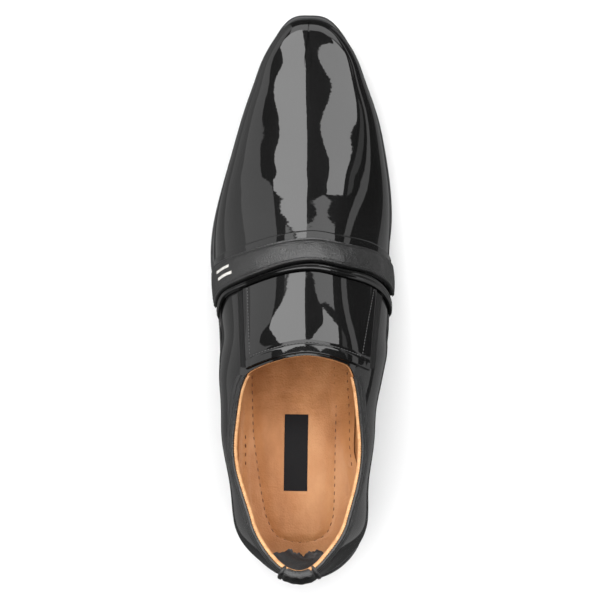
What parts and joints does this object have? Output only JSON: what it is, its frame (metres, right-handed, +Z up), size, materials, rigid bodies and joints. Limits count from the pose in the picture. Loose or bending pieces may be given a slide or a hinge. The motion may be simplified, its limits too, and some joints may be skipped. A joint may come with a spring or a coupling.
{
  "type": "patent slip-on dress shoe",
  "caption": "Left slip-on dress shoe of black patent leather with a saddle strap, an instep panel with side gores, a low block heel and a quilted tread.",
  "frame": {"origin": "on the floor under the middle of the shoe's bounding box", "axes": "+Y from the heel to the toe, +X to the inner (big toe) side, +Z up"},
  "size_m": [0.099, 0.2998, 0.0909],
  "materials": {
    "patent_leather": "black patent leather with a mirror gloss coat",
    "matte_leather": "black fine-grained leather with a soft sheen",
    "sole_rubber": "dark grey matt moulded rubber",
    "welt_edge": "black satin edge",
    "elastic_gore": "black ribbed elastic",
    "tan_leather": "tan leather sock and lining, mottled"
  },
  "bodies": {
    "root": {"outsole": "sole_rubber", "heel": "sole_rubber", "welt": "welt_edge", "insole": "tan_leather", "upper": "patent_leather", "strap_underlay": "patent_leather", "saddle_strap": "matte_leather", "strap_piping": "patent_leather", "instep_panel": "patent_leather", "gore_outer": "elastic_gore", "gore_inner": "elastic_gore", "collar_binding": "matte_leather", "heel_tab": "matte_leather"}
  },
  "joints": []
}
